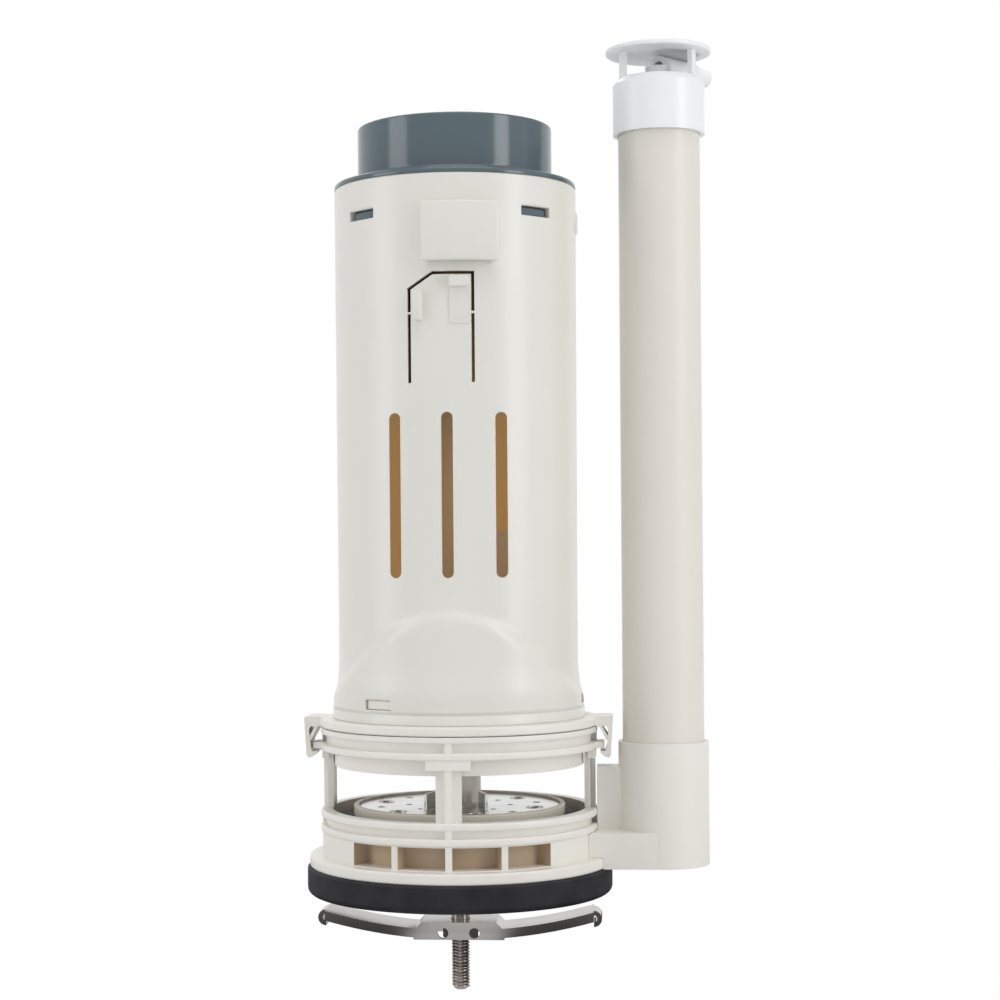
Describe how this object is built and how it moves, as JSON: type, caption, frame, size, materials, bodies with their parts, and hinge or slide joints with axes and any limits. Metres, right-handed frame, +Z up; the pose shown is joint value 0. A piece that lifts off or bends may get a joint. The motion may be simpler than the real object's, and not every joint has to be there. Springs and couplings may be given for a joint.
{
  "type": "toilet flush valve",
  "caption": "Tower flush valve for a toilet tank: push-button cap, slotted tower, seat cage with lift disc, side overflow tube with cap, tank gasket and a screwed clamp bar.",
  "frame": {"origin": "centre of the tank gasket's underside, on the valve's axis, where the valve sits on the tank's floor", "axes": "+Z up along the valve's axis, +X towards the overflow tube, -Y the front with the latch and the slots"},
  "size_m": [0.1328, 0.098, 0.3028],
  "materials": {
    "tower_white": "moulded, low gloss",
    "cage_cream": "moulded, low gloss",
    "cap_slate": "polished",
    "tube_white": "extruded, satin",
    "hood_white": "moulded, gloss",
    "rubber_black": "matt",
    "stainless": "satin",
    "acetal_amber": "moulded, matt"
  },
  "bodies": {
    "valve_body": {"tower_shell": "tower_white", "top_cap": "cap_slate", "lever_pins": "stainless", "lock_collar": "cage_cream", "stem_guide": "cage_cream", "seat_cage": "cage_cream", "outlet_seat": "cage_cream", "overflow_foot": "cage_cream", "screw_spider": "cage_cream", "tank_gasket": "rubber_black", "overflow_tube": "tube_white", "overflow_washer": "rubber_black", "overflow_cap": "hood_white", "screw_washer": "stainless", "button_spring": "stainless"},
    "push_button": {"push_plate": "cap_slate"},
    "lever_left": {"rocker_lever_left": "acetal_amber"},
    "lever_right": {"rocker_lever_right": "acetal_amber"},
    "lift_stem": {"valve_stem": "cage_cream", "stem_head": "cage_cream", "float_cup": "tower_white", "float_clip": "acetal_amber", "side_float": "tower_white", "disc_dish": "cage_cream", "disc_plate": "stainless", "seal_ring": "rubber_black", "seal_retainer": "cage_cream", "bottom_nut": "cage_cream"},
    "screw": {"clamp_screw": "stainless", "retaining_clip": "stainless"},
    "bar": {"clamp_bar": "stainless", "clamp_nut": "stainless"}
  },
  "joints": [
    {"name": "stem_lift", "type": "slide", "parent": "valve_body", "child": "lift_stem", "axis": [0, 0, 1], "range_m": [0, 0.012]},
    {"name": "button_press", "type": "slide", "parent": "valve_body", "child": "push_button", "axis": [0, 0, -1], "range_m": [0, 0.0075], "stiffness_N_per_m": 100, "springref_m": -0.01, "deforming": ["button_spring"]},
    {"name": "left_rocker", "type": "hinge", "parent": "valve_body", "child": "lever_left", "pos_m": [-0.0185, 0, 0.214], "axis": [0, -1, 0], "range_deg": [0, 60.01]},
    {"name": "right_rocker", "type": "hinge", "parent": "valve_body", "child": "lever_right", "pos_m": [0.0185, 0, 0.214], "axis": [0, 1, 0], "range_deg": [0, 60.01]},
    {"name": "clamp_turn", "type": "hinge", "parent": "valve_body", "child": "screw", "pos_m": [0, 0, 0], "axis": [0, 0, 1], "range_deg": [0, 3960.01]},
    {"name": "bar_travel", "type": "slide", "parent": "valve_body", "child": "bar", "axis": [0, 0, -1], "range_m": [0, 0.011]}
  ],
  "couplings": [
    {"joint": "button_press", "follows": "stem_lift", "ratio": 0.625},
    {"joint": "left_rocker", "follows": "stem_lift", "rad_per_m": 87.266},
    {"joint": "right_rocker", "follows": "stem_lift", "rad_per_m": 87.266},
    {"joint": "clamp_turn", "follows": "bar_travel", "rad_per_m": 6283.2}
  ]
}
